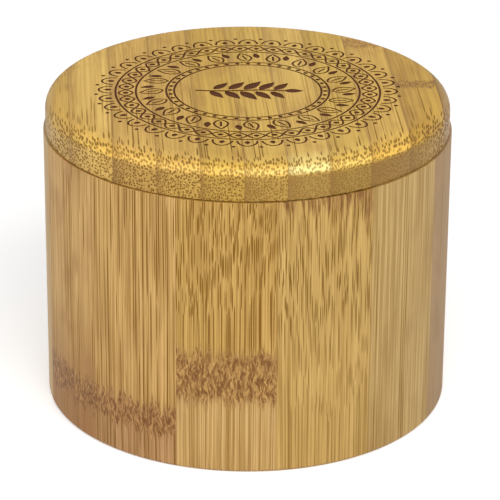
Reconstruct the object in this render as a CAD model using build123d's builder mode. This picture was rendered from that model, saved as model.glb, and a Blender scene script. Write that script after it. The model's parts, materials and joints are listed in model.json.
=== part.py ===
from build123d import *
import os
from math import ceil, cos, floor, radians

# Round bamboo salt box with a swivel lid.
# The wall is a ring of upright staves, glued edge to edge, turned round and rebated underneath for
# a base disc. Base and lid are turned from board that is glued up from bamboo strips on edge, which
# run front to back. The lid swings aside on one steel pin in the back of the wall, and a pair of
# disc magnets at the front holds it shut.
# Millimetres and degrees, +Z up, -Y the front, origin under the middle of the box.

# Wall
body_diameter = 89.0
body_height = 62.2
wall = 9.5
stave_count = 13
joint_angle = 4.75  # of the first glue joint, from the front towards +X
rim_ease = 0.4
foot_ease = 0.8

# Base, let into a rebate under the wall
base_thickness = 8.0
rebate_width = 3.0

# Lid
lid_step = 0.5  # the lid's edge lies this far inside the wall's
lid_thickness = 7.6
lid_gap = 0.2
lid_roundover = 3.2
lid_ease = 0.4

# Strips of the board that each disc is cut from: the disc's diameter over the strip width, and how
# far the middle strip lies to the right of the disc's middle, over the strip width
base_strip_ratio = 8.5
base_shift_ratio = 0.0
lid_strip_ratio = 9.9
lid_shift_ratio = 0.13

# Pivot pin, glued into the wall and free to turn in the lid
pin_diameter = 4.0
pin_in_wall = 12.0
pin_in_lid = 4.6
pin_chamfer = 0.4
pin_clearance = 0.05
pin_end_room = 0.4

# Magnets, one in the rim and one in the lid
magnet_diameter = 5.0
magnet_thickness = 3.0
magnet_chamfer = 0.2
magnet_sink = 0.1  # below the face that it is let into

glue_gap = 0.05

# Worked out from the sizes above
body_radius = body_diameter / 2
inner_radius = body_radius - wall
rebate_radius = inner_radius + rebate_width
base_radius = rebate_radius - glue_gap
lid_radius = body_radius - lid_step
lid_underside = body_height + lid_gap
pivot = (0, body_radius - wall / 2)
catch = (0, wall / 2 - body_radius)
stave_angle = 360 / stave_count
wedge_reach = body_diameter / cos(radians(stave_angle / 2))


def save(part, name):
    """Label a finished piece and write it as its own file."""
    part.label = name
    export_step(part, f"parts/{name}.step")


def save_strips(disc, name, strip_ratio, shift_ratio):
    """Divide a turned disc along the glue lines of its board and save each strip, left to right."""
    box = disc.part.bounding_box()
    strip_width = box.size.X / strip_ratio
    first = floor(0.5 - strip_ratio / 2 - shift_ratio)
    last = ceil(strip_ratio / 2 - shift_ratio - 0.5)
    for number, place in enumerate(range(first, last + 1), 1):
        with BuildPart() as strip:
            add(disc.part)
            with BuildSketch(Plane.XY.offset(box.min.Z)):
                with Locations(((place + shift_ratio) * strip_width, 0)):
                    Rectangle(strip_width, 2 * box.size.Y)
            extrude(amount=box.size.Z, mode=Mode.INTERSECT)
        save(strip.part, f"{name}_{number:02d}")


def magnet_disc(bottom):
    """A disc magnet at the catch, standing on the given height."""
    with BuildPart() as magnet:
        with BuildSketch(Plane.XY.offset(bottom)):
            with Locations(catch):
                Circle(magnet_diameter / 2)
        extrude(amount=magnet_thickness)
        chamfer(magnet.edges().filter_by(GeomType.CIRCLE), length=magnet_chamfer)
    return magnet.part


os.makedirs("parts", exist_ok=True)

# Wall: turned profile, then the bores that are drilled down into the rim
with BuildPart() as ring:
    with BuildSketch(Plane.XZ):
        with BuildLine():
            Polyline(
                (inner_radius, base_thickness),
                (inner_radius, body_height),
                (body_radius, body_height),
                (body_radius, 0),
                (rebate_radius, 0),
                (rebate_radius, base_thickness),
                close=True,
            )
        make_face()
    revolve(axis=Axis.Z)
    chamfer(ring.edges().group_by(Axis.Z)[-1], length=rim_ease)
    chamfer(ring.edges().group_by(Axis.Z)[0].sort_by(SortBy.RADIUS)[-1], length=foot_ease)
    with BuildSketch(Plane.XY.offset(body_height)):
        with Locations(pivot):
            Circle(pin_diameter / 2 + glue_gap)
    extrude(amount=-pin_in_wall, mode=Mode.SUBTRACT)
    with BuildSketch(Plane.XY.offset(body_height)):
        with Locations(catch):
            Circle(magnet_diameter / 2 + glue_gap)
    extrude(amount=-magnet_thickness - magnet_sink, mode=Mode.SUBTRACT)

# Staves: the ring divided along its glue joints
for number in range(stave_count):
    start = joint_angle - 90 + stave_angle * number
    with BuildPart() as stave:
        add(ring.part)
        with BuildSketch():
            with BuildLine():
                near = PolarLine((0, 0), wedge_reach, start)
                far = PolarLine((0, 0), wedge_reach, start + stave_angle)
                Line(near @ 1, far @ 1)
            make_face()
        extrude(amount=body_height, mode=Mode.INTERSECT)
    save(stave.part, f"stave_{number + 1:02d}")

# Base disc
with BuildPart() as base:
    with BuildSketch():
        Circle(base_radius)
    extrude(amount=base_thickness)
save_strips(base, "base_strip", base_strip_ratio, base_shift_ratio)

# Lid disc, rounded over on top, with the pin bore and the magnet recess in its underside
with BuildPart() as lid:
    with BuildSketch(Plane.XY.offset(lid_underside)):
        Circle(lid_radius)
    extrude(amount=lid_thickness)
    fillet(lid.edges().group_by(Axis.Z)[-1], radius=lid_roundover)
    chamfer(lid.edges().group_by(Axis.Z)[0], length=lid_ease)
    with BuildSketch(Plane.XY.offset(lid_underside)):
        with Locations(pivot):
            Circle(pin_diameter / 2 + pin_clearance)
    extrude(amount=pin_in_lid + pin_end_room, mode=Mode.SUBTRACT)
    with BuildSketch(Plane.XY.offset(lid_underside)):
        with Locations(catch):
            Circle(magnet_diameter / 2 + glue_gap)
    extrude(amount=magnet_thickness + magnet_sink, mode=Mode.SUBTRACT)
save_strips(lid, "lid_strip", lid_strip_ratio, lid_shift_ratio)

# Pivot pin: a plain dowel with chamfered ends
with BuildPart() as pivot_pin:
    with BuildSketch(Plane.XY.offset(body_height - pin_in_wall)):
        with Locations(pivot):
            Circle(pin_diameter / 2)
    extrude(amount=pin_in_wall + lid_gap + pin_in_lid)
    chamfer(pivot_pin.edges().filter_by(GeomType.CIRCLE), length=pin_chamfer)
save(pivot_pin.part, "pivot_pin")

# Magnets
save(magnet_disc(body_height - magnet_sink - magnet_thickness), "rim_magnet")
save(magnet_disc(lid_underside + magnet_sink), "lid_magnet")
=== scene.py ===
import contextlib
import functools
import json
import math
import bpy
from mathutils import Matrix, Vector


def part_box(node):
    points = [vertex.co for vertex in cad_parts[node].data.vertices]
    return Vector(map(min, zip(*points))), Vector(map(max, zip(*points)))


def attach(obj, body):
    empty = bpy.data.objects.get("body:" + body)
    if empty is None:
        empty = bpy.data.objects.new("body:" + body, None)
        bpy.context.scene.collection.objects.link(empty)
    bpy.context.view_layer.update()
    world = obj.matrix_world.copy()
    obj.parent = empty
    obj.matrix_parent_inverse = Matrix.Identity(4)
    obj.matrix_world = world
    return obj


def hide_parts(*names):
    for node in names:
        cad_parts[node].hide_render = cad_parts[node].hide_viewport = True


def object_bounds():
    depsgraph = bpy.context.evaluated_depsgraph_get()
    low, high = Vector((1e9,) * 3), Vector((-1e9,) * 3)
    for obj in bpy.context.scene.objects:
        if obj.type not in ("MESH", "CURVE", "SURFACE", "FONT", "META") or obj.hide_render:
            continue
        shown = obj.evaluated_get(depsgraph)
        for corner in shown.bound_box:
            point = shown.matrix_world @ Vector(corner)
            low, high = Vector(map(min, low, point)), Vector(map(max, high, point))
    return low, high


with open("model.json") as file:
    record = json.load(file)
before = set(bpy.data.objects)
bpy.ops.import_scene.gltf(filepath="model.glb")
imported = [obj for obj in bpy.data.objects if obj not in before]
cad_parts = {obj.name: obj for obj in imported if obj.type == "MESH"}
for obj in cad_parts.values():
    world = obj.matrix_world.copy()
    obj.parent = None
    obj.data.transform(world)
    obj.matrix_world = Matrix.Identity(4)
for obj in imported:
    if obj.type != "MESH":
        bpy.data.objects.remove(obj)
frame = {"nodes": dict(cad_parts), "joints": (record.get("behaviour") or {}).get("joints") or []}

from types import SimpleNamespace

import bmesh
import bpy
from mathutils import Matrix, Vector

bl_info = {
    "name": "Bamboo salt box",
    "version": (1, 0, 0),
    "blender": (4, 5, 0),
    "location": "3D View > Sidebar > Salt box",
    "description": "Wall staves, base and lid boards, engraving and hardware of a round bamboo salt box",
    "category": "Add Mesh",
}

# Everything is in metres, in the frame of the CAD model: +Z up, -Y the front, the box stands on z = 0.
MM = 0.001
CLOSE = 0.001 * MM        # places nearer than this are the same
MERGED = 0.002 * MM       # vertices nearer than this become one
SHARP = math.radians(32)  # edges that turn by more stay sharp
GLUE_GAP = 0.05 * MM      # round what is glued into a bore
FACING = -3.65            # of the camera and the engraving, in degrees from the front, towards +X
WHITE = (1.0, 1.0, 1.0, 1.0)
CAD_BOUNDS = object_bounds()


def nodes_named(prefix):
    """Names of the CAD nodes that start with a prefix, in order."""
    return sorted(name for name in frame["nodes"] if name.startswith(prefix))


STAVES = nodes_named("stave_")
BASE_STRIPS = nodes_named("base_strip_")
LID_STRIPS = nodes_named("lid_strip_")

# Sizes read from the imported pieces
BODY_RADIUS = (CAD_BOUNDS[1][0] - CAD_BOUNDS[0][0]) / 2
BODY_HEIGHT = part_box(STAVES[0])[1].z
PIVOT = Vector(frame["joints"][0]["pos_m"])
CATCH = -PIVOT  # the magnets sit opposite the pivot pin
WALL = 2 * (BODY_RADIUS - PIVOT.y)
BASE_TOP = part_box(BASE_STRIPS[0])[1].z
BASE_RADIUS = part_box(BASE_STRIPS[-1])[1].x
MIDDLE_LOW, MIDDLE_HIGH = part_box(LID_STRIPS[len(LID_STRIPS) // 2])
LID_BOTTOM = MIDDLE_LOW.z
LID_TOP = MIDDLE_HIGH.z
LID_RADIUS = MIDDLE_HIGH.y
PIN_LOW, PIN_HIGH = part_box("pivot_pin")
MAGNET_LOW, MAGNET_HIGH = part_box("rim_magnet")
PIN_RADIUS = (PIN_HIGH.x - PIN_LOW.x) / 2
MAGNET_RADIUS = (MAGNET_HIGH.x - MAGNET_LOW.x) / 2


def linear(hex_colour):
    """Turn an sRGB hex colour into the linear values that shaders take."""
    shares = [int(hex_colour[i:i + 2], 16) / 255 for i in (1, 3, 5)]
    return [s / 12.92 if s <= 0.04045 else ((s + 0.055) / 1.055) ** 2.4 for s in shares]


def distance(name, description, default):
    """A length property, in metres."""
    return bpy.props.FloatProperty(name=name, description=description, default=default, min=0.0,
                                   precision=5, unit="LENGTH", subtype="DISTANCE")


def rotation(name, description, degrees):
    """An angle property, given in degrees."""
    return bpy.props.FloatProperty(name=name, description=description, default=math.radians(degrees),
                                   subtype="ANGLE", unit="ROTATION")


def lamp_power(name, description, watts):
    """A lamp's power, in watts."""
    return bpy.props.FloatProperty(name=name, description=description, default=watts, min=0.0, unit="POWER")


def whole_number(name, description, default, low, high):
    """A property that counts something."""
    return bpy.props.IntProperty(name=name, description=description, default=default, min=low, max=high)


def colour(name, description, hex_colour):
    """A colour property, given as an sRGB hex colour."""
    return bpy.props.FloatVectorProperty(name=name, description=description, default=linear(hex_colour),
                                         size=3, min=0.0, max=1.0, subtype="COLOR")


class WallSettings(bpy.types.PropertyGroup):
    """Sizes of the wall that its staves are turned to."""

    radius: distance("Radius", "Outside radius of the turned wall", BODY_RADIUS)
    height: distance("Height", "Height of the wall up to its rim", BODY_HEIGHT)
    thickness: distance("Thickness", "Thickness of the wall above its rebate", WALL)
    rebate_height: distance("Rebate height", "Height of the rebate that the base is let into", BASE_TOP)
    rebate_width: distance("Rebate width", "How far the rebate is cut into the wall", 3.0 * MM)
    rim_round: distance("Rim rounding", "Radius that the rim's edges are sanded to", 0.15 * MM)
    foot_round: distance("Foot rounding", "Radius that the foot's outer edge is sanded to", 0.8 * MM)
    first_joint: rotation("First joint", "Angle of the first glue joint, from the front towards +X", 4.75)
    steps: whole_number("Steps", "Flat steps that round off one stave", 18, 4, 64)


class LidSettings(bpy.types.PropertyGroup):
    """Sizes of the turned lid."""

    radius: distance("Radius", "Radius of the turned lid", LID_RADIUS)
    roundover: distance("Roundover", "Radius of the roundover on top", 3.2 * MM)
    lower_edge: distance("Lower edge", "Radius that the lower edge is sanded to", 0.15 * MM)
    pin_clearance: distance("Pin clearance", "Room round the pivot pin", 0.05 * MM)
    pin_end_room: distance("Pin end room", "Room over the end of the pivot pin", 0.4 * MM)
    steps: whole_number("Steps", "Flat steps that round off the whole lid", 288, 24, 720)


class EngravingSettings(bpy.types.PropertyGroup):
    """Sizes of the ornament that is engraved in the lid."""

    inner_radius: distance("Inner radius", "Radius of the border's innermost line", 16.0 * MM)
    line_width: distance("Line width", "Width of the engraved lines", 0.54 * MM)
    pocket_depth: distance("Pocket depth", "Depth of the leaves and dots that are engraved solid", 0.16 * MM)
    turn: rotation("Turn", "Turn of the ornament about the lid's middle", FACING)


class FinishSettings(bpy.types.PropertyGroup):
    """Colours of the hardware and of what is the same on all the bamboo."""

    glue: colour("Glue line", "Thin line along each glue joint", "#805520")
    scorch: colour("Scorch", "Floor of the laser engraved lines", "#462000")
    steel: colour("Steel", "Ground steel of the pivot pin", "#B9B9B7")
    nickel: colour("Nickel", "Nickel plating of the magnets", "#D2CFC8")


class StageSettings(bpy.types.PropertyGroup):
    """Camera, lamps and floor."""

    camera_distance: distance("Camera distance", "Distance from the camera to the point it circles", 640 * MM)
    camera_height: distance("Orbit height", "Height of the point that the camera circles", 34.7 * MM)
    camera_azimuth: rotation("Azimuth", "Angle of the camera from the front, towards +X", FACING)
    camera_elevation: rotation("Elevation", "Angle of the camera above the table", 23.76)
    camera_roll: rotation("Roll", "Turn of the camera about its own axis", 0.4)
    aim_right: distance("Aim right", "How far right of the box's middle the camera looks", 0.72 * MM)
    aim_height: distance("Aim height", "Height at which the camera's axis passes the box's middle", 32.1 * MM)
    focal_length: bpy.props.FloatProperty(
        name="Focal length", description="Focal length, in millimetres on a 36 mm frame", default=207.5,
        min=10.0)
    strip_power: lamp_power("Strip lamp", "Lamp above the front, which shines on the roundover", 4.1)
    front_power: lamp_power("Front lamp", "Soft lamp at the front", 0.4)
    left_power: lamp_power("Left lamp", "Large soft lamp at the left", 1.6)
    ambient: bpy.props.FloatProperty(
        name="Ambient", description="Strength of the white surroundings", default=0.5, min=0.0)


# Modelling helpers


def deselect():
    """Select nothing."""
    bpy.ops.object.select_all(action="DESELECT")


def activate(piece):
    """Select this piece alone and make it active."""
    deselect()
    piece.select_set(True)
    bpy.context.view_layer.objects.active = piece


@contextlib.contextmanager
def editing(piece):
    """Edit mode on one piece, with all of it selected at first."""
    activate(piece)
    bpy.ops.object.mode_set(mode="EDIT")
    bpy.ops.mesh.select_all(action="SELECT")
    yield
    bpy.ops.object.mode_set(mode="OBJECT")


def pick(piece, kind, wanted):
    """In edit mode, select the verts or edges whose middle passes a test."""
    mesh = bmesh.from_edit_mesh(piece.data)
    bpy.ops.mesh.select_all(action="DESELECT")
    bpy.ops.mesh.select_mode(type={"verts": "VERT", "edges": "EDGE"}[kind])
    found = 0
    for part in getattr(mesh, kind):
        corners = [part] if kind == "verts" else part.verts
        middle = sum((corner.co for corner in corners), Vector()) / len(corners)
        if wanted(middle):
            part.select_set(True)
            found += 1
    if not found:
        raise RuntimeError(f"{piece.name}: none of its {kind} passes the test")
    mesh.select_flush(True)
    bmesh.update_edit_mesh(piece.data)


def close_up(piece):
    """Merge doubled vertices and turn all faces outwards."""
    with editing(piece):
        bpy.ops.mesh.remove_doubles(threshold=MERGED)
        bpy.ops.mesh.normals_make_consistent(inside=False)


def settle(piece):
    """Put the piece's place in its mesh and leave its object at the origin."""
    activate(piece)
    bpy.ops.object.transform_apply(location=True, rotation=True, scale=True)


def smooth(piece):
    """Shade rounded faces smooth and let the large flat faces keep their own normals."""
    activate(piece)
    bpy.ops.object.shade_smooth_by_angle(angle=SHARP)
    weighted = piece.modifiers.new("Weighted normals", "WEIGHTED_NORMAL")
    weighted.keep_sharp = True
    bpy.ops.object.modifier_apply(modifier=weighted.name)


def copy_of(piece, name):
    """A copy with its own mesh."""
    activate(piece)
    bpy.ops.object.duplicate(linked=False)
    copy = bpy.context.object
    copy.name = copy.data.name = name
    return copy


def cut(piece, cutter):
    """Cut a closed cutter out of a piece and delete the cutter."""
    activate(piece)
    boolean = piece.modifiers.new("Cut", "BOOLEAN")
    boolean.operation = "DIFFERENCE"
    boolean.solver = "MANIFOLD"
    boolean.object = cutter
    before = len(piece.data.polygons)
    bpy.ops.object.modifier_apply(modifier=boolean.name)
    if len(piece.data.polygons) == before:
        raise RuntimeError(f"{cutter.name} cut nothing out of {piece.name}")
    bpy.data.objects.remove(cutter)


def bore(piece, middle, radius, bottom, top):
    """Drill an upright hole into a piece."""
    bpy.ops.mesh.primitive_cylinder_add(vertices=64, radius=radius, depth=top - bottom,
                                        location=(middle.x, middle.y, (top + bottom) / 2))
    drill = bpy.context.object
    drill.name = "drill"
    cut(piece, drill)


def dress(piece, material, body, slot, *nodes):
    """Give a finished piece its material and its place in the frame."""
    piece.data.materials.clear()
    piece.data.materials.append(material)
    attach(piece, body)
    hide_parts(*nodes)


# Materials


SOFT = {"interpolation_type": "SMOOTHSTEP"}  # for a map range whose ends are eased


def add_node(tree, kind, *values, named=None, **settings):
    """Add a shader node and feed its inputs, in the order in which it shows them or by name.

    A value is a number, an output, or a node, which stands for the first output that it shows.
    """
    node = tree.nodes.new("ShaderNode" + kind)
    for name, value in settings.items():
        setattr(node, name, value)
    feeds = list(zip([socket for socket in node.inputs if socket.enabled], values))
    feeds += [(node.inputs[name], value) for name, value in (named or {}).items()]
    for socket, value in feeds:
        if isinstance(value, bpy.types.Node):
            value = next(output for output in value.outputs if output.enabled)
        if isinstance(value, bpy.types.NodeSocket):
            tree.links.new(value, socket)
        else:
            socket.default_value = value
    return node


def new_material(name):
    """A material with an empty node tree, and what adds nodes to it."""
    material = bpy.data.materials.new(name)
    material.use_nodes = True
    material.node_tree.nodes.clear()
    return material, functools.partial(add_node, material.node_tree)


def shade(tone, red, green, blue):
    """A tone with each channel made lighter or darker."""
    return (min(1.0, tone.x * red), min(1.0, tone.y * green), min(1.0, tone.z * blue), 1.0)


# How one piece of bamboo looks. Lengths are in millimetres.
PLAIN_LOOK = {
    "tone": "#BE9658",     # middle tone of the ground between the fibre bundles
    "contrast": 1.0,       # of the long pale and dark streaks
    "grain": 0.3,          # width of the finest streaks
    "stain": 0.25,         # strength of the soft brown patches
    "fibre": 0.8,          # how dark the fibre bundles are
    "sparse": 0.3,         # share of the bundles that are too pale to be seen
    "even": 0.0,           # share of the others that are all as dark as can be
    "thin": 0.0,           # share of the bundles that are left out on the long grain
    "faint": 0.0,          # how strong the others are there, at the front, if they fade to the back
    "deep": 0.8,           # how pale the bundles' own brown is
    "low": 1.0,            # how strong the bundles are at the foot; fainter there, they make the foot lighter as painted light thrown up from the floor
    "low_to": 0.0,         # height from which they are at full strength
    "spacing": 0.6,        # from one bundle to the next
    "width": 0.28,         # of a bundle
    "slim": 1.0,           # how much narrower the bundles look on the long grain
    "tilt": 0.0,           # rise of the bundles towards the surface, per length
    "tilt_from": -100.0,   # height at which that rise begins, which strays by some millimetres
    "lean": 0.0,           # sideways lean of the bundles, per length
    "wander": 0.5,         # how far bundles stray from straight
    "knot": None,          # height of the middle of the node band
    "knot_slope": 0.0,     # rise of the node band across the piece, per length
    "knot_reach": 4.0,     # half the height of the node band
    "knot_cover": 0.85,    # how far the node band covers the ground
    "knot_spikes": 9.0,    # how ragged the node band is
    "curl_bend": 1.7,      # how far its fibres bend
    "curl_length": 1.8,    # of its fibres
    "halo": 0.0,           # strength of the brown tinge that sets in above the node band and goes on below
    "foot": None,          # tone of the ground below the node band
    "end": 0.2,            # how much darker square end grain is
    "speck": 1.0,          # strength of the dots on square end grain
    "gold": 0.0,           # how far rounded end grain is tinted yellower and lightened by a painted highlight
    "pale": 0.0,           # how white that painted highlight is
    "crowd": 0.0,          # how far bundles crowd at the left edge
    "strip": 0.0,          # width of the strip, where its glue lines are drawn at u = 0 and here
    "wedge": 0.0,          # slope of the glue faces beside the middle of a stave
    "top": None,           # height of the lid's top, if the piece is part of the lid
    "worn": 0.0,           # how deep that top is worn down towards its edge
    "seed": 0,
}
SEED_STEPS = (17.3, 11.9, 53.7)  # from one piece's pattern to the next
LONG_GRAIN = 0.4    # a surface that faces less than this along the fibres begins to look like long grain
LOW_FADE = 12.0     # height over which the bundles at the foot get to full strength
HALO_HEIGHT = 14.0  # over which the brown tinge above a node band fades out
CROWD_REACH = 2.2   # distance from a strip's left edge over which its bundles spread out again

# Distances from the lid's middle
ENGRAVED_TO = 38.0       # as far as scorched lines can lie
WORN = (37.3, 43.5)      # from here to here the top is worn down
DASHED_AND_HIGHLIT_BRINK = (36.8, 41.0)  # from here to here the top at the front is crossed at a slant, and a painted highlight runs onto it from the roundover


def times(add, first, second, **settings):
    """One number times another."""
    return add("Math", first, second, operation="MULTIPLY", **settings)


def mix(add, share, first, second, **settings):
    """The first colour with a share of the second mixed in."""
    return add("Mix", share, first, second, data_type="RGBA", **settings)


def stretched_noise(add, place, scales, *detail):
    """Noise with its own scale along each axis."""
    scaled = add("VectorMath", place, scales, operation="MULTIPLY")
    return add("TexNoise", scaled, 1.0, *detail)


def end_grain(add, look, facing, tipped):
    """How far the surface is square-cut end grain, and how far rounded end grain, tinted yellower under a
    painted highlight.
    """
    end = add("MapRange", facing, 0.3, 0.7, **SOFT)
    square = add("MapRange", tipped, 0.5, 0.1, **SOFT)
    square = times(add, end, square)
    rounded = add("MapRange", tipped, 0.98, 0.85, 0.0, look.gold, **SOFT)
    rounded = times(add, end, rounded)
    gold_and_highlight_share = add("Math", square, -1.0, rounded, operation="MULTIPLY_ADD", use_clamp=True)
    return square, gold_and_highlight_share


def worn_edge(add, look, out, along, through, facing, square, gold_and_highlight_share):
    """Sanding has worn the lid's top down a trace towards its edge, so bundles come up there as dashes.
    At the front a painted highlight runs on from the roundover onto that edge.

    Returns the new depth through the piece, how far the fibres are crossed, and how far the yellower tint
    and painted highlight of rounded end grain reach there.
    """
    worn = add("MapRange", out, *WORN, 0.0, look.worn, **SOFT)
    through = add("Math", through, worn, operation="ADD")
    ahead = times(add, along, -MM / LID_RADIUS, use_clamp=True)
    brink = add("MapRange", out, *DASHED_AND_HIGHLIT_BRINK, 0.0, 0.34)
    brink = times(add, brink, ahead)
    crossing = add("Math", facing, brink, operation="MAXIMUM")
    # Painted highlight: the roundover's highlight runs on over the front of the top
    painted_front_highlight = times(add, brink, 1.3)
    gold_and_highlight_share = add("Math", gold_and_highlight_share, painted_front_highlight, operation="MAXIMUM")
    gold_and_highlight_share = add("Math", square, -1.0, gold_and_highlight_share, operation="MULTIPLY_ADD", use_clamp=True)
    return through, crossing, gold_and_highlight_share


def fibre_bundles(add, look, section, along, place, crossing, square):
    """Round bundles in the cross section, of which each has its own strength."""
    cells = add("TexVoronoi", section, 1 / look.spacing, named={"Randomness": 0.85}, voronoi_dimensions="2D")
    radius = look.width / 2 / look.spacing
    slim = add("MapRange", crossing, 0.0, LONG_GRAIN, look.slim, 1.0)
    slim = add("Math", square, 0.3, slim, operation="MULTIPLY_ADD")
    away = times(add, cells, slim)
    bundle = add("MapRange", away, 1.3 * radius, 0.75 * radius, **SOFT)
    chance = add("SeparateColor", cells.outputs["Color"])
    if look.thin:
        thinned = add("MapRange", crossing, 0.0, LONG_GRAIN, -look.thin, 0.0)
        chance = add("Math", chance, thinned, operation="ADD")
    full = 1.0 - (1.0 - look.sparse) * look.even
    strength = add("MapRange", chance, look.sparse, full, 0.0, 1.2 * look.fibre)
    bundle = times(add, bundle, strength, use_clamp=True)
    if look.low < 1.0:
        weak = add("MapRange", along, look.low_to - LOW_FADE, look.low_to, look.low, 1.0)
        bundle = times(add, bundle, weak)
    if look.faint:
        depth = add("SeparateXYZ", place).outputs["Y"]
        front = add("MapRange", depth, 0.3 * LID_RADIUS, -0.8 * LID_RADIUS, 0.25 * look.faint, look.faint)
        faint = add("MapRange", crossing, 0.0, LONG_GRAIN, front, 1.0)
        bundle = times(add, bundle, faint)
    return bundle


def straw_ground(add, look, tone, strayed, seeded):
    """Streaks along the fibres, slow clouds and soft brown patches. Returns streaks and clouds too."""
    streak = stretched_noise(add, strayed, (1 / look.grain, 1 / (4 * look.grain), 1 / 45), 2.5, 0.6)
    cloud = stretched_noise(add, seeded, (1 / 3.5, 1 / 4, 1 / 22), 2.0)
    contrast = look.contrast
    blend = add("Math", streak, 3.2 * contrast, 0.5 - 1.6 * contrast, operation="MULTIPLY_ADD")
    swell = add("Math", cloud, 0.9, -0.45, operation="MULTIPLY_ADD")
    blend = add("Math", swell, contrast, blend, operation="MULTIPLY_ADD", use_clamp=True)
    ground = mix(add, blend, shade(tone, 0.74, 0.68, 0.50), shade(tone, 1.24, 1.29, 1.48))
    patches = stretched_noise(add, seeded, (1 / 6, 1 / 7, 1 / 12), 2.0)
    stain = add("MapRange", patches, 0.48, 0.72, 0.0, look.stain, **SOFT)
    ground = mix(add, stain, ground, shade(tone, 0.60, 0.44, 0.38))
    return ground, streak, cloud


def node_band(add, look, tone, across, along, seeded, ground, bundle):
    """The ragged node band: short curled fibres, browner than the ground, which hide the bundles."""
    spikes = stretched_noise(add, seeded, (1 / 0.8, 1 / 3, 1 / 9), 2.0)
    level = add("Math", across, -look.knot_slope, along, operation="MULTIPLY_ADD")
    level = add("Math", spikes, look.knot_spikes, level, operation="MULTIPLY_ADD")
    level = add("Math", level, look.knot + 0.5 * look.knot_spikes, operation="SUBTRACT")
    away = add("Math", level, operation="ABSOLUTE")
    reach = look.knot_reach
    band = add("MapRange", away, 1.25 * reach, 0.6 * reach, **SOFT)
    straw = tone
    if look.foot:
        foot = Vector(linear(look.foot))
        straw = (tone + foot) / 2
        ratio = [low / high for low, high in zip(foot, tone)]
        below = add("MapRange", level, reach, -reach)
        lower = mix(add, 1.0, ground, (*ratio, 1.0), blend_type="MULTIPLY")
        ground = mix(add, below, ground, lower)
    if look.halo:
        halo = add("MapRange", level, reach + HALO_HEIGHT, reach, 0.0, look.halo)
        ground = mix(add, halo, ground, shade(tone, 0.62, 0.48, 0.44))
    bend = add("TexNoise", seeded, 0.5, 1.0)
    bent = add("VectorMath", bend.outputs["Color"], [look.curl_bend] * 3, seeded, operation="MULTIPLY_ADD")
    curls = stretched_noise(add, bent, (1 / 0.38, 1 / 1.2, 1 / look.curl_length), 3.0, 0.65)
    curls = add("MapRange", curls, 0.42, 0.64)
    curled = mix(add, curls, shade(straw, 0.34, 0.21, 0.06), shade(straw, 1.04, 0.97, 0.98))
    cover = times(add, band, look.knot_cover)
    ground = mix(add, cover, ground, curled)
    clear = add("Math", band, -0.85, 1.0, operation="MULTIPLY_ADD")
    return ground, times(add, bundle, clear)


def crowded_edge(add, tone, fade, square, tinted):
    """Bundles are so close at a strip's left edge that it looks dark, and on square end grain farther in."""
    edge = times(add, fade, square)
    edge = times(add, edge, 0.34)
    tinted = mix(add, edge, tinted, (0.5, 0.42, 0.34, 1.0), blend_type="MULTIPLY")
    edge = times(add, fade, fade)
    edge = times(add, edge, 0.55)
    return mix(add, edge, tinted, shade(tone, 0.45, 0.36, 0.26))


def glue_lines(add, look, across, through, tinted):
    """A thin line along each glue joint."""
    if look.wedge:
        side = add("Math", across, operation="ABSOLUTE")
        reach = times(add, through, look.wedge)
    else:
        side = add("Math", across, look.strip / 2, operation="SUBTRACT")
        side = add("Math", side, operation="ABSOLUTE")
        reach = look.strip / 2
    margin = add("Math", reach, side, operation="SUBTRACT")
    glue = add("MapRange", margin, 0.14, 0.02, 0.0, 0.45)
    brown = (*bpy.context.scene.salt_box_finish.glue, 1.0)
    return mix(add, glue, tinted, brown)


def scorch(add, look, place, out, cloud, tinted, bundle):
    """The scorched floor of the engraving, which is as matt as can be."""
    height = add("SeparateXYZ", place).outputs["Z"]
    depth = add("Math", height, -1 / MM, look.top, operation="MULTIPLY_ADD")
    burnt = add("MapRange", depth, 0.002, 0.03)
    within = add("Math", out, ENGRAVED_TO, operation="LESS_THAN")
    burnt = times(add, burnt, within)
    brown = bpy.context.scene.salt_box_finish.scorch
    char = mix(add, cloud, (*brown, 1.0), [1.7 * share for share in brown] + [1.0])
    tinted = mix(add, burnt, tinted, char)
    return tinted, add("Math", burnt, 4.0, bundle, operation="MULTIPLY_ADD")


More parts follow.
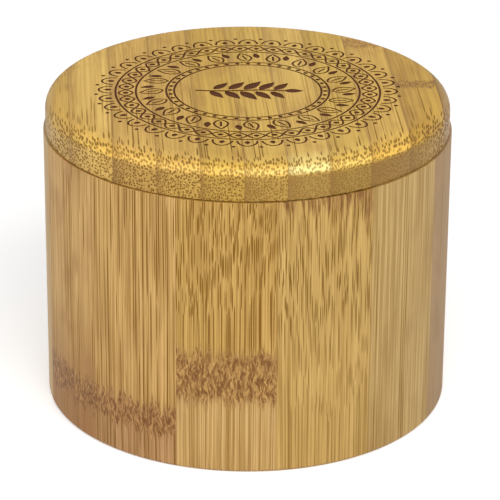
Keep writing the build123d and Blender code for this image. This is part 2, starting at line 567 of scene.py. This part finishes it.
def bamboo(name, lie, shift, **look):
    """Bamboo, planed, turned, sanded fine and rubbed with food-safe oil.

    Straw-coloured ground with thin dark fibre bundles that run the length of the strip: lines where
    the cut follows them, dashes where it crosses them at a slant and dots on the end grain. Cut
    square, that has drunk more oil and is browner; rounded over, it is tinted yellower and lightened by
    a painted highlight. Some pieces have a ragged node band of curled brown fibres. A low satin sheen.
    lie turns the piece so that u runs across it, v through it and w along its fibres.
    """
    look = SimpleNamespace(**{**PLAIN_LOOK, **look})
    material, add = new_material(name)
    tone = Vector(linear(look.tone))
    coordinates = add("TexCoord")
    place = coordinates.outputs["Object"]
    local = add("Mapping", place, shift, lie, [1 / MM] * 3)
    seeded = add("VectorMath", local, [look.seed * step for step in SEED_STEPS])
    u, v, w = add("SeparateXYZ", local).outputs

    # How far the surface faces along the fibres, and how far through the piece
    turned = add("Mapping", coordinates.outputs["Normal"], lie, vector_type="VECTOR")
    turned = add("SeparateXYZ", turned)
    facing = add("Math", turned.outputs["Z"], operation="ABSOLUTE")
    tipped = add("Math", turned.outputs["Y"], operation="ABSOLUTE")
    square, gold_and_highlight_share = end_grain(add, look, facing, tipped)

    # Cross section of the bundles, which stray slowly from straight, tilt and lean. The height at
    # which the tilt begins strays with them
    drift = stretched_noise(add, seeded, (1 / 6, 1 / 6, 1 / 28), 1.0)
    sway = (look.wander, 2 * look.wander, 0)
    strayed = add("VectorMath", drift.outputs["Color"], sway, seeded, operation="MULTIPLY_ADD")
    section = add("SeparateXYZ", strayed)
    climb = add("Math", w, look.tilt_from, operation="SUBTRACT")
    climb = add("Math", drift, 24.0, climb, operation="MULTIPLY_ADD")
    climb = add("Math", climb, 0.0, operation="MAXIMUM")
    through = add("Math", climb, look.tilt, section.outputs["Y"], operation="MULTIPLY_ADD")
    across = add("Math", w, look.lean, section.outputs["X"], operation="MULTIPLY_ADD")
    crossing = facing
    if look.top:
        flat = add("VectorMath", place, (1 / MM, 1 / MM, 0), operation="MULTIPLY")
        out = add("VectorMath", flat, operation="LENGTH")
        through, crossing, gold_and_highlight_share = worn_edge(add, look, out, w, through, facing, square, gold_and_highlight_share)
    if look.crowd:
        fade = times(add, u, -1 / CROWD_REACH)
        fade = add("Math", fade, operation="EXPONENT")
        across = add("Math", fade, -look.crowd, across, operation="MULTIPLY_ADD")
    section = add("CombineXYZ", across, through)

    bundle = fibre_bundles(add, look, section, w, place, crossing, square)
    ground, streak, cloud = straw_ground(add, look, tone, strayed, seeded)
    if look.knot is not None:
        ground, bundle = node_band(add, look, tone, u, w, seeded, ground, bundle)

    # End grain: brown where it is cut square; where it is rounded over, tinted yellower and lightened by a
    # painted highlight
    darker = times(add, square, look.end)
    ground = mix(add, darker, ground, shade(tone, 0.46, 0.40, 0.32))
    # Painted highlight: this tint is much lighter than the tone, and whiter still on strips that are given
    # more of it
    gold = shade(tone, 1.5 + 0.4 * look.pale, 1.46 + 0.6 * look.pale, 0.98 + 2.4 * look.pale)
    ground = mix(add, gold_and_highlight_share, ground, gold)
    speck = add("Math", square, look.speck - 1.0, 1.0, operation="MULTIPLY_ADD")
    # Dots fade under the painted highlight
    speck = add("Math", gold_and_highlight_share, -0.38, speck, operation="MULTIPLY_ADD")
    bundle = times(add, bundle, speck)
    brown = shade(tone, 0.55 * look.deep, 0.41 * look.deep, 0.0)
    tinted = mix(add, bundle, ground, brown)
    if look.crowd:
        tinted = crowded_edge(add, tone, fade, square, tinted)
    tinted = glue_lines(add, look, u, v, tinted)
    if look.top:
        tinted, bundle = scorch(add, look, place, out, cloud, tinted, bundle)

    # Oil: matt on the planed face and satin round its edges. Bundles are duller and stand a trace lower
    rough = add("MapRange", tipped, 0.7, 0.97, 0.44, 0.6, **SOFT)
    rough = add("Math", bundle, 0.3, rough, operation="MULTIPLY_ADD")
    relief = add("Math", bundle, -0.8, streak, operation="MULTIPLY_ADD")
    bump = add("Bump", named={"Height": relief, "Strength": 0.35, "Distance": 0.05 * MM})
    gloss = {"Normal": bump, "Specular IOR Level": 0.42}
    shader = add("BsdfPrincipled", tinted, 0.0, rough, 1.5, named=gloss)
    add("OutputMaterial", shader)
    return material


def ground_steel(name):
    """Steel dowel, centreless ground: plain grey metal with fine rings and a soft broken gloss."""
    material, add = new_material(name)
    steel = Vector(bpy.context.scene.salt_box_finish.steel)
    # Grinding marks 0.15 mm apart run round the pin
    grind = stretched_noise(add, add("TexCoord").outputs["Object"], (200.0, 200.0, 1 / (0.15 * MM)), 3.0)
    tint = mix(add, grind, (*(0.82 * steel), 1.0), (*steel, 1.0))
    rough = add("MapRange", grind, 0.0, 1.0, 0.24, 0.42)
    bump = add("Bump", named={"Height": grind, "Strength": 0.2, "Distance": 0.01 * MM})
    shader = add("BsdfPrincipled", tint, 1.0, rough, named={"Normal": bump})
    add("OutputMaterial", shader)
    return material


def plated_nickel(name):
    """Disc magnet, tumbled and nickel plated: bright warm metal with faint tumbling marks."""
    material, add = new_material(name)
    nickel = Vector(bpy.context.scene.salt_box_finish.nickel)
    # Tumbling marks about 0.6 mm across
    marks = add("TexNoise", add("TexCoord").outputs["Object"], 1 / (0.6 * MM), 4.0)
    tint = mix(add, marks, (*(0.85 * nickel), 1.0), (*nickel, 1.0))
    rough = add("MapRange", marks, 0.0, 1.0, 0.14, 0.3)
    shader = add("BsdfPrincipled", tint, 1.0, rough)
    add("OutputMaterial", shader)
    return material


def backdrop_seen(add):
    """1 for what the camera sees, straight or in a reflection or through glass, and 0 for light."""
    path = add("LightPath")
    seen = add("Math", path.outputs["Is Camera Ray"], path.outputs["Is Glossy Ray"], operation="MAXIMUM")
    return add("Math", seen, path.outputs["Is Transmission Ray"], operation="MAXIMUM")


def white_paper(name):
    """Seamless studio paper: matt white, which the camera sees as white wherever no shadow falls."""
    material, add = new_material(name)
    matt = add("BsdfDiffuse", (0.86, 0.86, 0.86, 1.0))
    # Brings paper that the lamps light up to white
    lift = times(add, backdrop_seen(add), 0.34)
    glow = add("Emission", WHITE, lift)
    add("OutputMaterial", add("AddShader", matt, glow))
    return material


# Wall


# From the stave at the right of the front, anticlockwise, to the one that holds the front
STAVE_LOOKS = [
    # Bundles that fade towards the foot make this stave lighter low down: painted light thrown up from the
    # floor
    dict(tone="#BD9852", contrast=0.9, tilt=0.032, tilt_from=26.0, spacing=0.36, width=0.2, sparse=0.1,
         even=0.8, wander=0.2, lean=-0.012, knot=65.0, knot_slope=0.3, knot_reach=6.0, knot_spikes=20.0,
         knot_cover=1.0, curl_bend=0.2, curl_length=8.0, stain=0.1, deep=0.6, low=0.65, low_to=38.0),
    dict(tone="#B69558", contrast=1.1, fibre=0.7, spacing=0.7, grain=0.45),
    dict(tone="#A38256", contrast=0.35, fibre=0.3, spacing=0.9, grain=0.8),
    dict(tone="#BD9558", tilt=0.02, knot=31.0),
    dict(tone="#C79F62", contrast=1.1, fibre=0.7),
    dict(tone="#BE9A5E", tilt=0.05, fibre=0.9),
    dict(tone="#C59B5B", contrast=0.9, knot=47.0),
    dict(tone="#B98F55", contrast=1.2, fibre=0.8),
    dict(tone="#C7A266", tilt=0.06, fibre=0.8),
    dict(tone="#BFA06F", contrast=0.6, fibre=0.4, spacing=1.0),
    dict(tone="#C09757", contrast=1.0, tilt=0.012, fibre=1.0, deep=0.75, stain=0.5, knot=10.4,
         knot_reach=3.7, knot_cover=1.0, halo=0.6, foot="#9C713C"),
    dict(tone="#BE9553", contrast=1.5, fibre=1.0, spacing=0.48, width=0.25, even=0.55, deep=0.64, knot=10.4,
         knot_reach=3.7, knot_cover=1.0, halo=0.15, foot="#AE8452"),
    # The front stave: its lighter tone below the node band and its bundles that fade towards the foot are
    # painted light thrown up from the floor
    dict(tone="#B68E46", contrast=1.1, tilt=0.044, tilt_from=50.0, spacing=0.37, width=0.225, fibre=1.0,
         deep=0.75, sparse=0.08, even=0.6, wander=0.3, knot=22.0, knot_reach=6.2, knot_cover=1.0,
         foot="#BF995B", stain=0.1, low=0.5, low_to=26.0),
]


class SALT_BOX_OT_staves(bpy.types.Operator):
    """Turn the wall's section through one stave's share of the ring, and set the staves side by side"""

    bl_idname = "salt_box.staves"
    bl_label = "Wall staves"

    def execute(self, context):
        wall = context.scene.salt_box_wall
        share = math.tau / len(STAVES)
        pattern = self.section(wall)
        self.turn(pattern, wall, share)
        for number, node in enumerate(STAVES):
            angle = wall.first_joint - math.pi / 2 + share * number
            stave = copy_of(pattern, "wall_" + node)
            stave.rotation_euler.z = angle
            settle(stave)
            if number == self.at(PIVOT, wall, share):
                bore(stave, PIVOT, PIN_RADIUS + GLUE_GAP, PIN_LOW.z, wall.height + MM)
            if number == self.at(CATCH, wall, share):
                bore(stave, CATCH, MAGNET_RADIUS + GLUE_GAP, MAGNET_LOW.z, wall.height + MM)
            smooth(stave)
            middle = angle + share / 2
            wood = bamboo("oiled_bamboo_" + node, Matrix.Rotation(math.pi / 2 - middle, 3, "Z").to_euler(),
                          (0, 0, 0), wedge=math.tan(share / 2), seed=number + 1, **STAVE_LOOKS[number])
            dress(stave, wood, "box", "stave_bamboo", node)
        bpy.data.objects.remove(pattern)
        return {"FINISHED"}

    @staticmethod
    def at(place, wall, share):
        """Number of the stave that holds a place."""
        angle = math.atan2(place.y, place.x) + math.pi / 2 - wall.first_joint
        return int(angle % math.tau / share)

    @staticmethod
    def section(wall):
        """The wall's section on the right, with its rebate, as flat faces in the XZ plane."""
        inner = wall.radius - wall.thickness
        rebate = inner + wall.rebate_width
        middle = ((rebate + wall.radius) / 2, 0, wall.height / 2)
        bpy.ops.mesh.primitive_plane_add(size=1, location=middle, rotation=(math.pi / 2, 0, 0))
        piece = bpy.context.object
        piece.name = "wall_section"
        settle(piece)
        step = wall.rebate_height
        rounded = [
            (wall.radius, wall.height, wall.rim_round),
            (inner, wall.height, wall.rim_round),
            (wall.radius, 0, wall.foot_round),
        ]
        with editing(piece):
            bpy.ops.transform.resize(value=(wall.radius - rebate, 1, wall.height), center_override=middle)
            bpy.ops.mesh.bisect(plane_co=(0, 0, step), plane_no=(0, 0, 1))
            pick(piece, "edges", lambda place: abs(place.x - rebate) < CLOSE and place.z > step)
            bpy.ops.mesh.extrude_edges_move(TRANSFORM_OT_translate={"value": (-wall.rebate_width, 0, 0)})
            for x, z, radius in rounded:
                pick(piece, "verts", lambda place: abs(place.x - x) < CLOSE and abs(place.z - z) < CLOSE)
                bpy.ops.mesh.bevel(offset=radius, segments=4, affect="VERTICES")
        return piece

    @staticmethod
    def turn(piece, wall, share):
        """Spin the section into one closed stave."""
        with editing(piece):
            bpy.ops.mesh.spin(steps=wall.steps, angle=-share, center=(0, 0, 0), axis=(0, 0, 1))
        close_up(piece)
        turned = max(vert.co.y for vert in piece.data.vertices)
        if turned < wall.radius * math.sin(share) - 0.01 * MM:
            raise RuntimeError("the stave was spun the wrong way round")


# Boards of strips


def disc(name, radius, bottom, top, steps):
    """A closed turned disc with its rim still square."""
    bpy.ops.mesh.primitive_cylinder_add(vertices=steps, radius=radius, depth=top - bottom,
                                        location=(0, 0, (bottom + top) / 2))
    piece = bpy.context.object
    piece.name = name
    settle(piece)
    return piece


def round_rim(piece, radius, height, offset, segments):
    """Round the edge at one height of a disc's rim."""
    with editing(piece):
        pick(piece, "edges", lambda place: abs(place.z - height) < CLOSE and place.xy.length > 0.9 * radius)
        bpy.ops.mesh.bevel(offset=offset, segments=segments, affect="EDGES")


def strip_of(board, node, radius):
    """Saw one strip out of a board, between the glue faces of its CAD node."""
    low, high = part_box(node)
    strip = copy_of(board, "board_" + node)
    with editing(strip):
        for x, side in ((low.x, 1), (high.x, -1)):
            if abs(x) < radius - 0.5 * MM:
                bpy.ops.mesh.select_all(action="SELECT")
                bpy.ops.mesh.bisect(plane_co=(x, 0, 0), plane_no=(side, 0, 0), use_fill=True,
                                    clear_inner=True, threshold=1e-7)
    smooth(strip)
    return strip


# Strips from left to right
BASE_TONES = ["#C8A468", "#BF975A", "#C9A66C", "#C19C60", "#CBA970", "#BC9558", "#C7A367", "#C39E63",
              "#C6A56C"]
LID_LOOK = dict(crowd=2.6, spacing=0.62, width=0.49, slim=1.5, fibre=1.0, sparse=0.0, even=0.8, deep=0.55,
                tilt=0.02, wander=0.4, contrast=0.65, grain=0.5, stain=0.35, thin=0.55, faint=1.0, gold=0.9,
                worn=0.9, top=LID_TOP / MM)
# Each strip's rounded end grain carries a painted highlight, whitest on the seventh strip
LID_LOOKS = [
    dict(tone="#C19943", end=0.0, speck=0.1, pale=0.0),
    dict(tone="#D1A952", end=0.0, speck=0.9, pale=0.05),
    dict(tone="#C99F4B", end=0.32, speck=1.0, pale=0.3),
    dict(tone="#C59C46", end=0.14, speck=1.0, pale=0.45),
    dict(tone="#C39B3E", end=0.31, speck=0.9, pale=0.45),
    dict(tone="#CAA348", end=0.48, speck=0.8, pale=0.4),
    dict(tone="#D0A951", end=0.76, speck=0.6, pale=1.0),
    dict(tone="#C8A245", end=0.76, speck=0.6, pale=0.55),
    dict(tone="#CCA34A", end=0.9, speck=0.6, pale=0.1, knot=29.0, knot_reach=3.2, knot_spikes=3.0,
         knot_cover=0.8),
    dict(tone="#BA9137", end=0.55, speck=0.5, knot=2.0, knot_reach=2.2, knot_spikes=4.0, knot_cover=0.85),
    dict(tone="#AC8745", end=0.2, speck=0.3),
]


def strip_wood(node, **look):
    """Bamboo for a strip that stands on edge, its fibres front to back, its crowded side on the left."""
    low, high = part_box(node)
    width = (high.x - low.x) / MM
    upright = Matrix.Rotation(math.pi / 2, 3, "X").to_euler()
    return bamboo("oiled_bamboo_" + node, upright, (-low.x / MM, 0, 0), strip=width, **look)


class SALT_BOX_OT_base(bpy.types.Operator):
    """Turn the base disc out of board and part it into its strips"""

    bl_idname = "salt_box.base"
    bl_label = "Base strips"

    def execute(self, context):
        board = disc("base_disc", BASE_RADIUS, 0, BASE_TOP, context.scene.salt_box_lid.steps)
        for number, node in enumerate(BASE_STRIPS):
            strip = strip_of(board, node, BASE_RADIUS)
            wood = strip_wood(node, tone=BASE_TONES[number], seed=40 + number, crowd=2.0, tilt=0.02,
                              spacing=0.8)
            dress(strip, wood, "box", "board_bamboo", node)
        bpy.data.objects.remove(board)
        return {"FINISHED"}


# Engraving: a border of plain rings, beads, leaves and waves round a leafy sprig


WIRE_LIFT = 0.1    # of its width, that the middle of a wire that cuts a line lies above the lid's top
STEM_WIDTH = 1.4   # of a line's


def ring(radius, steps=180):
    """Points of a circle round the lid's middle."""
    return wave(radius, 0.0, 1, 0.0, steps)


def wave(radius, swing, count, phase, steps):
    """Points of a circle that swings in and out."""
    points = []
    for step in range(steps):
        angle = math.tau * step / steps
        out = radius + swing * math.sin(count * angle + phase)
        points.append((out * math.cos(angle), out * math.sin(angle)))
    return points


def dot(radius):
    """Outline of a dot round the origin."""
    return ring(radius, steps=12)


def leaf(length, width, steps=9):
    """Outline of a pointed leaf that begins at the origin and points along X."""
    shares = [step / steps for step in range(steps + 1)]
    near = [(length * share, width / 2 * math.sin(math.pi * share ** 0.8)) for share in shares]
    return near + [(x, -y) for x, y in reversed(near[1:-1])]


def arch(width, height, steps=12):
    """Points of a round arch that opens towards the middle."""
    return [(height * math.sin(math.pi * step / steps), -width / 2 * math.cos(math.pi * step / steps))
            for step in range(steps + 1)]


def placed(shape, x, y, angle):
    """A shape turned by an angle and moved."""
    c, s = math.cos(angle), math.sin(angle)
    return [(x + c * px - s * py, y + s * px + c * py) for px, py in shape]


def around(shape, count, radius, phase=0.0, lean=0.0):
    """Copies of a shape all round the lid's middle, each pointing outwards, or leaning from there."""
    copies = []
    for number in range(count):
        angle = math.tau * (number + phase) / count
        copies.append(placed(shape, radius * math.cos(angle), radius * math.sin(angle), angle + lean))
    return copies


def border(inner):
    """Lines, pockets and waves of the border, in millimetres, outwards from its innermost line.

    Beads between two rings, slanting leaves, two waves that cross, with a bead in each loop, and
    arches, with a leaf in each.
    """
    band = inner + 1.7
    leaves = band + 0.7
    waves = leaves + 8.1
    rim = waves + 2.2
    leaf_count, wave_count, arch_count = 20, 22, 36
    lean = 0.35
    lines = [ring(inner), ring(band), ring(waves - 2.2), ring(rim)]
    lines += around(leaf(5.3, 3.0), leaf_count, leaves, lean=lean)
    veins = around([(1.0, 0.0), (2.4, 0.0), (3.8, 0.0)], leaf_count, leaves, lean=lean)
    arches = around(arch(4.2, 2.9), arch_count, rim + 0.8)
    lines += [line + [None] for line in veins + arches]
    pockets = around(dot(0.52), 44, (inner + band) / 2)
    pockets += around(leaf(3.2, 1.5), leaf_count, leaves + 2.1, phase=0.66, lean=lean)
    pockets += around(dot(0.62), 2 * wave_count, waves, phase=0.5)
    pockets += around(leaf(1.8, 1.2), arch_count, rim + 0.9)
    pockets += around(dot(0.46), arch_count, rim + 4.2, phase=0.5)
    swings = [wave(waves, 1.55, wave_count, phase, steps=308) for phase in (0.0, math.pi)]
    return lines, pockets, swings


def sprig():
    """The stem of the sprig in the middle and the pockets of its leaves, in millimetres."""
    leaves = []
    for side in (-1, 1):
        for step in range(5):
            along = -8.2 + 3.3 * step + (0.8 if side > 0 else 0)
            size = 1.0 - 0.09 * abs(step - 2)
            leaves.append(placed(leaf(6.3 * size, 2.5 * size), along, side * 0.5, side * 0.95))
    leaves.append(placed(leaf(4.4, 2.2), 7.8, 0.0, 0.0))
    stem = [(-11.4 + 19.4 * step / 12, -0.35 * math.sin(math.pi * step / 6)) for step in range(13)]
    return stem + [None], leaves


def engraver(name, outlines, turn, line_width=0.0, pocket_depth=0.0):
    """A closed cutter: round wires along the outlines, or solid pockets within them.

    Outlines are in millimetres, and each is closed, unless it ends in None.
    """
    drawing = bpy.data.curves.new(name, "CURVE")
    for outline in outlines:
        ends = outline[-1] is None
        points = outline[:-1] if ends else outline
        spline = drawing.splines.new("POLY")
        spline.points.add(len(points) - 1)
        for place, (x, y) in zip(spline.points, points):
            place.co = (x * MM, y * MM, 0, 1)
        spline.use_cyclic_u = not ends
    if pocket_depth:
        drawing.dimensions = "2D"
        drawing.fill_mode = "BOTH"
        drawing.extrude = pocket_depth
    else:
        drawing.dimensions = "3D"
        drawing.bevel_depth = line_width / 2
        drawing.bevel_resolution = 1
        drawing.use_fill_caps = True
    cutter = bpy.data.objects.new(name, drawing)
    bpy.context.collection.objects.link(cutter)
    activate(cutter)
    bpy.ops.object.convert(target="MESH")
    cutter = bpy.context.object
    cutter.location.z = LID_TOP if pocket_depth else LID_TOP + WIRE_LIFT * line_width
    cutter.rotation_euler.z = turn
    settle(cutter)
    close_up(cutter)
    return cutter


class SALT_BOX_OT_lid(bpy.types.Operator):
    """Turn the lid out of board, round it over, drill and engrave it, and part it into its strips"""

    bl_idname = "salt_box.lid"
    bl_label = "Lid strips"

    def execute(self, context):
        sizes = context.scene.salt_box_lid
        board = disc("lid_disc", sizes.radius, LID_BOTTOM, LID_TOP, sizes.steps)
        round_rim(board, sizes.radius, LID_TOP, sizes.roundover, segments=10)
        round_rim(board, sizes.radius, LID_BOTTOM, sizes.lower_edge, segments=3)
        bore(board, PIVOT, PIN_RADIUS + sizes.pin_clearance, LID_BOTTOM - MM, PIN_HIGH.z + sizes.pin_end_room)
        bore(board, CATCH, MAGNET_RADIUS + GLUE_GAP, LID_BOTTOM - MM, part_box("lid_magnet")[1].z)
        self.engrave(board, context.scene.salt_box_engraving)
        for number, node in enumerate(LID_STRIPS):
            strip = strip_of(board, node, sizes.radius)
            wood = strip_wood(node, seed=20 + number, **LID_LOOK, **LID_LOOKS[number])
            dress(strip, wood, "lid", "board_bamboo", node)
        bpy.data.objects.remove(board)
        return {"FINISHED"}

    @staticmethod
    def engrave(board, sizes):
        """Cut the border and the sprig into the top. What crosses is cut one after the other."""
        lines, pockets, swings = border(sizes.inner_radius / MM)
        stem, leaves = sprig()
        turn, width = sizes.turn, sizes.line_width
        cut(board, engraver("pockets", pockets + leaves, turn, pocket_depth=sizes.pocket_depth))
        cut(board, engraver("lines", lines, turn, line_width=width))
        for swing in swings:
            cut(board, engraver("wave", [swing], turn, line_width=width))
        cut(board, engraver("stem", [stem], turn, line_width=STEM_WIDTH * width))


class SALT_BOX_OT_hardware(bpy.types.Operator):
    """Finish the pivot pin and the magnets, whose CAD shapes are kept"""

    bl_idname = "salt_box.hardware"
    bl_label = "Pin and magnets"

    def execute(self, context):
        finishes = {"pivot_pin": ground_steel("ground_steel")}
        finishes["rim_magnet"] = finishes["lid_magnet"] = plated_nickel("plated_nickel")
        for node, material in finishes.items():
            mesh = frame["nodes"][node].data
            mesh.materials.clear()
            mesh.materials.append(material)
        return {"FINISHED"}


def direction(azimuth, elevation):
    """The way from the box to something that stands at these angles from the front and the table."""
    level = math.cos(elevation)
    return Vector((math.sin(azimuth) * level, -math.cos(azimuth) * level, math.sin(elevation)))


class SALT_BOX_OT_stage(bpy.types.Operator):
    """Set up the paper floor, the soft lamps, the white surroundings and the camera"""

    bl_idname = "salt_box.stage"
    bl_label = "Stage"

    def execute(self, context):
        scene = context.scene
        stage = scene.salt_box_stage
        self.paper()
        self.lamp("strip_lamp", stage.strip_power, reach=0.85, size=(0.6, 0.3), azimuth=14, elevation=48)
        self.lamp("front_lamp", stage.front_power, reach=0.85, size=(0.7, 0.5), azimuth=8, elevation=38)
        self.lamp("left_lamp", stage.left_power, reach=0.9, size=(0.8, 0.8), azimuth=-60, elevation=22)
        self.surroundings(scene, stage.ambient)
        self.camera(scene, stage)
        scene.view_settings.view_transform = "Standard"
        return {"FINISHED"}

    @staticmethod
    def paper():
        """A sheet of paper, far wider than the view."""
        bpy.ops.mesh.primitive_plane_add(size=6.0, location=(0, 0, 0))
        floor = bpy.context.object
        floor.name = "paper_floor"
        floor.data.materials.append(white_paper("white_studio_paper"))

    @staticmethod
    def lamp(name, power, reach, size, azimuth, elevation):
        """A soft lamp that points at the box. Its size is its width and height, its angles are in degrees."""
        away = direction(math.radians(azimuth), math.radians(elevation))
        aim = Vector((0, 0, LID_TOP / 2))
        bpy.ops.object.light_add(type="AREA", location=aim + reach * away)
        lamp = bpy.context.object
        lamp.name = name
        lamp.data.energy = power
        lamp.data.shape = "RECTANGLE"
        lamp.data.size, lamp.data.size_y = size
        lamp.rotation_euler = away.to_track_quat("Z", "Y").to_euler()

    @staticmethod
    def surroundings(scene, strength):
        """Even white surroundings, full white to the camera and in reflections."""
        world = bpy.data.worlds.new("white_surroundings")
        world.use_nodes = True
        world.node_tree.nodes.clear()
        add = functools.partial(add_node, world.node_tree)
        level = add("MapRange", backdrop_seen(add), 0.0, 1.0, strength, 1.0)
        add("OutputWorld", add("Background", WHITE, level))
        scene.world = world

    @staticmethod
    def camera(scene, stage):
        """A camera that circles the box and is aimed a little to the right of its middle."""
        away = direction(stage.camera_azimuth, stage.camera_elevation)
        right = direction(stage.camera_azimuth + math.pi / 2, 0.0)
        place = Vector((0, 0, stage.camera_height)) + stage.camera_distance * away
        aim = stage.aim_right * right + Vector((0, 0, stage.aim_height))
        bpy.ops.object.camera_add(location=place)
        camera = bpy.context.object
        camera.name = "camera"
        camera.data.lens = stage.focal_length
        look = (place - aim).to_track_quat("Z", "Y").to_matrix()
        camera.rotation_euler = (look @ Matrix.Rotation(stage.camera_roll, 3, "Z")).to_euler()
        camera.data.clip_start = 0.01
        scene.camera = camera


SETTINGS = {
    "salt_box_wall": WallSettings,
    "salt_box_lid": LidSettings,
    "salt_box_engraving": EngravingSettings,
    "salt_box_finish": FinishSettings,
    "salt_box_stage": StageSettings,
}
STEPS = (SALT_BOX_OT_staves, SALT_BOX_OT_base, SALT_BOX_OT_lid, SALT_BOX_OT_hardware, SALT_BOX_OT_stage)


class SALT_BOX_PT_panel(bpy.types.Panel):
    """Settings and steps of the salt box"""

    bl_idname = "SALT_BOX_PT_panel"
    bl_label = "Salt box"
    bl_space_type = "VIEW_3D"
    bl_region_type = "UI"
    bl_category = "Salt box"

    def draw(self, context):
        for attribute, group in SETTINGS.items():
            box = self.layout.box()
            settings = getattr(context.scene, attribute)
            for name in group.__annotations__:
                box.prop(settings, name)
        for step in STEPS:
            self.layout.operator(step.bl_idname)


def register():
    """Register the classes and give the scene its settings."""
    for group in (*SETTINGS.values(), *STEPS, SALT_BOX_PT_panel):
        bpy.utils.register_class(group)
    for attribute, group in SETTINGS.items():
        setattr(bpy.types.Scene, attribute, bpy.props.PointerProperty(type=group))


def unregister():
    """Undo what register does."""
    for attribute in SETTINGS:
        delattr(bpy.types.Scene, attribute)
    for group in (SALT_BOX_PT_panel, *reversed(STEPS), *SETTINGS.values()):
        bpy.utils.unregister_class(group)


def main():
    """Make the whole box and its stage."""
    register()
    deselect()
    bpy.ops.salt_box.staves()
    bpy.ops.salt_box.base()
    bpy.ops.salt_box.lid()
    bpy.ops.salt_box.hardware()
    bpy.ops.salt_box.stage()


if __name__ == "__main__":
    main()
